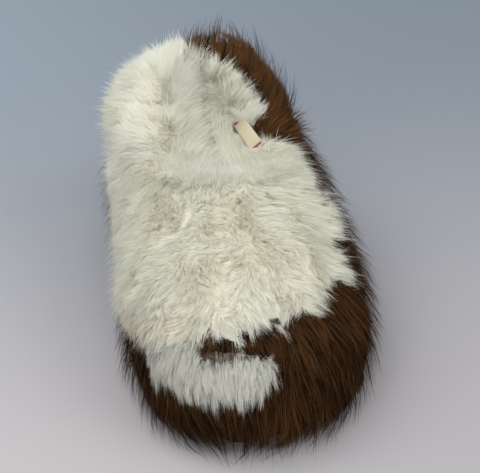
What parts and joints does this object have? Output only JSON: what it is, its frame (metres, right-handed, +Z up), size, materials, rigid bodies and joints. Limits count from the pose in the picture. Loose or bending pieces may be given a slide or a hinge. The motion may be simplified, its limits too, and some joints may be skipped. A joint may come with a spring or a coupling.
{
  "type": "fur slipper",
  "caption": "Closed fur slipper for the left foot: a hollow pelt upper on a soft hide sole, with brown fur round the wall and long white fur on the vamp and collar.",
  "frame": {"origin": "on the floor under the middle of the whole slipper's box", "axes": "+Z up, -Y towards the toe, +X towards the wearer's left, which is the outer side"},
  "size_m": [0.1552, 0.2948, 0.146],
  "materials": {
    "brown_fur": "long straight hair, soft gloss",
    "white_fur": "long woolly hair, matt",
    "pelt": "soft skin side, matt",
    "sole_hide": "suede",
    "felt": "felted wool, matt",
    "tape": "woven tape"
  },
  "bodies": {
    "root": {"outsole": "sole_hide", "insole": "felt", "upper": "pelt", "side_fur": "brown_fur", "toe_blaze_fur": "white_fur", "vamp_fur": "white_fur", "collar_fur": "white_fur", "side_label": "tape"}
  },
  "joints": []
}
